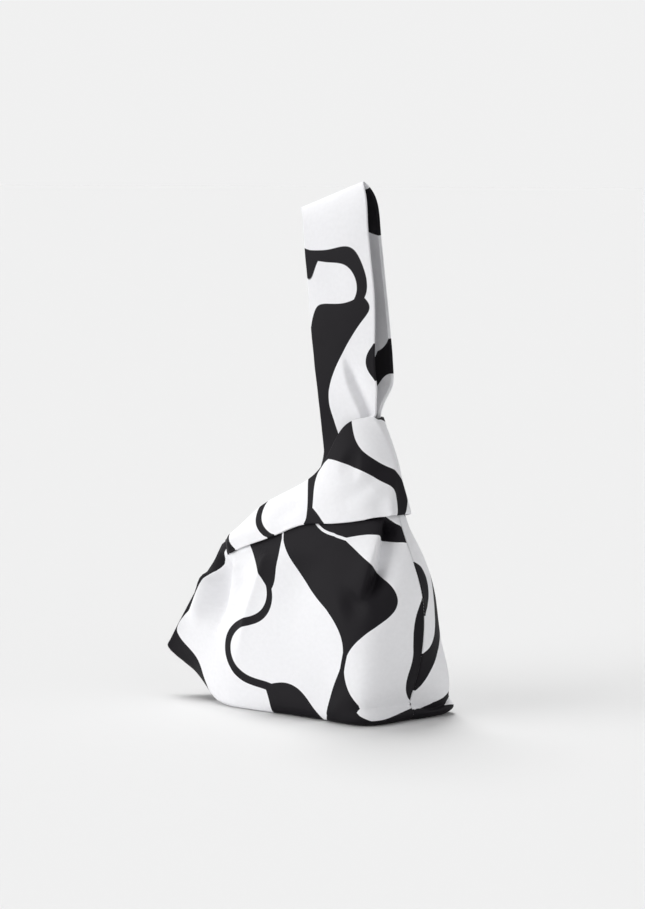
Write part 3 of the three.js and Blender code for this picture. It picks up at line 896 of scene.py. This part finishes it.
# lock stitches along the seams: one small bead of thread at each step of the line
def stitchTree(spec):
    tree = bpy.data.node_groups.new("seam_stitches", "GeometryNodeTree")
    tree.interface.new_socket("Geometry", in_out="INPUT", socket_type="NodeSocketGeometry")
    sockets = {}
    for label in ("Pitch", "Stitch", "Thread", "Material"):
        kind = "NodeSocketMaterial" if label == "Material" else "NodeSocketFloat"
        sockets[label] = tree.interface.new_socket(label, in_out="INPUT", socket_type=kind).identifier
    tree.interface.new_socket("Geometry", in_out="OUTPUT", socket_type="NodeSocketGeometry")
    link = tree.links.new
    into, out = node(tree, "NodeGroupInput"), node(tree, "NodeGroupOutput")
    line = node(tree, "GeometryNodeMeshToCurve")
    steps = node(tree, "GeometryNodeCurveToPoints", mode="LENGTH")
    along = node(tree, "FunctionNodeAlignRotationToVector", axis="Z")
    bead = node(tree, "GeometryNodeMeshUVSphere")
    bead.inputs["Segments"].default_value = spec["segments"]
    bead.inputs["Rings"].default_value = spec["rings"]
    bead.inputs["Radius"].default_value = 0.5
    smoothBead = node(tree, "GeometryNodeSetShadeSmooth")
    size = node(tree, "ShaderNodeCombineXYZ")
    sew = node(tree, "GeometryNodeInstanceOnPoints")
    real = node(tree, "GeometryNodeRealizeInstances")
    paint = node(tree, "GeometryNodeSetMaterial")
    link(into.outputs["Geometry"], line.inputs["Mesh"])
    link(line.outputs["Curve"], steps.inputs["Curve"])
    link(into.outputs["Pitch"], steps.inputs["Length"])
    link(steps.outputs["Tangent"], along.inputs["Vector"])
    link(into.outputs["Thread"], size.inputs["X"])
    link(into.outputs["Thread"], size.inputs["Y"])
    link(into.outputs["Stitch"], size.inputs["Z"])
    link(bead.outputs["Mesh"], smoothBead.inputs["Geometry"])
    link(steps.outputs["Points"], sew.inputs["Points"])
    link(smoothBead.outputs["Geometry"], sew.inputs["Instance"])
    link(along.outputs["Rotation"], sew.inputs["Rotation"])
    link(size.outputs["Vector"], sew.inputs["Scale"])
    link(sew.outputs["Instances"], real.inputs["Geometry"])
    link(real.outputs["Geometry"], paint.inputs["Geometry"])
    link(into.outputs["Material"], paint.inputs["Material"])
    link(paint.outputs["Geometry"], out.inputs["Geometry"])
    return tree, sockets


def threadMaterial(spec):
    material = bpy.data.materials.new("seam_thread")
    material.use_nodes = True
    tree = material.node_tree
    tree.nodes.clear()
    place = node(tree, "ShaderNodeTexCoord")
    ply = node(tree, "ShaderNodeTexNoise")
    ply.inputs["Scale"].default_value = spec["ply"]
    shade = node(tree, "ShaderNodeMapRange")
    shade.inputs["To Min"].default_value = spec["tone"][0]
    shade.inputs["To Max"].default_value = spec["tone"][1]
    tint = node(tree, "ShaderNodeVectorMath", operation="SCALE")
    tint.inputs[0].default_value = spec["white"]
    twist = node(tree, "ShaderNodeBump")
    twist.inputs["Strength"].default_value = spec["bump"]
    twist.inputs["Distance"].default_value = spec["plyDepth"]
    shader = node(tree, "ShaderNodeBsdfPrincipled")
    shader.inputs["Roughness"].default_value = spec["rough"]
    shader.inputs["Sheen Weight"].default_value = spec["sheen"]
    out = node(tree, "ShaderNodeOutputMaterial")
    link = tree.links.new
    link(place.outputs["Object"], ply.inputs["Vector"])
    link(ply.outputs["Fac"], shade.inputs["Value"])
    link(shade.outputs[0], tint.inputs["Scale"])
    link(ply.outputs["Fac"], twist.inputs["Height"])
    link(tint.outputs[0], shader.inputs["Base Color"])
    link(twist.outputs[0], shader.inputs["Normal"])
    link(shader.outputs[0], out.inputs["Surface"])
    return material


stitches, stitchSockets = stitchTree(seamThread)
threadFinish = threadMaterial(seamThread)


def sewn(name, lines, spec):
    points, edges = [], []
    for line in lines:
        edges += [(len(points) + i, len(points) + i + 1) for i in range(len(line) - 1)]
        points += (line * mm).tolist()
    mesh = bpy.data.meshes.new(name)
    mesh.from_pydata(points, edges, [])
    made = bpy.data.objects.new(name, mesh)
    scene.collection.objects.link(made)
    modifier = made.modifiers.new("stitches", "NODES")
    modifier.node_group = stitches
    for label, value in (("Pitch", spec["pitch"]), ("Stitch", spec["stitch"]), ("Thread", spec["width"])):
        modifier[stitchSockets[label]] = value * mm
    modifier[stitchSockets["Material"]] = threadFinish
    result = bpy.data.meshes.new_from_object(made.evaluated_get(bpy.context.evaluated_depsgraph_get()))
    made.modifiers.clear()
    made.data = result
    print(name + ": %d faces" % len(result.polygons))
    return made


bodyThread = sewn("body_seam_thread", seamLines[:3], seamThread)
handleThread = sewn("handle_seam_thread", seamLines[3:], seamThread)
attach(bodyThread, "bag")
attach(handleThread, "long_handle")


# the cloths keep their places in the world, and the model's parts that they stand for are hidden
for name, (outer, lining) in clothPieces.items():
    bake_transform(outer)
    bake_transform(lining)
    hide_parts("body_%s_outer" % name, "body_%s_interlining" % name,
                "long_handle_%s_outer" % name, "long_handle_%s_interlining" % name)
    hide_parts("body_%s_lining" % name, "long_handle_%s_lining" % name)
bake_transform(bandOuter)
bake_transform(bandLining)
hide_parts("short_handle_front_outer", "short_handle_back_outer",
            "short_handle_front_interlining", "short_handle_back_interlining")
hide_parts("short_handle_front_lining", "short_handle_back_lining")
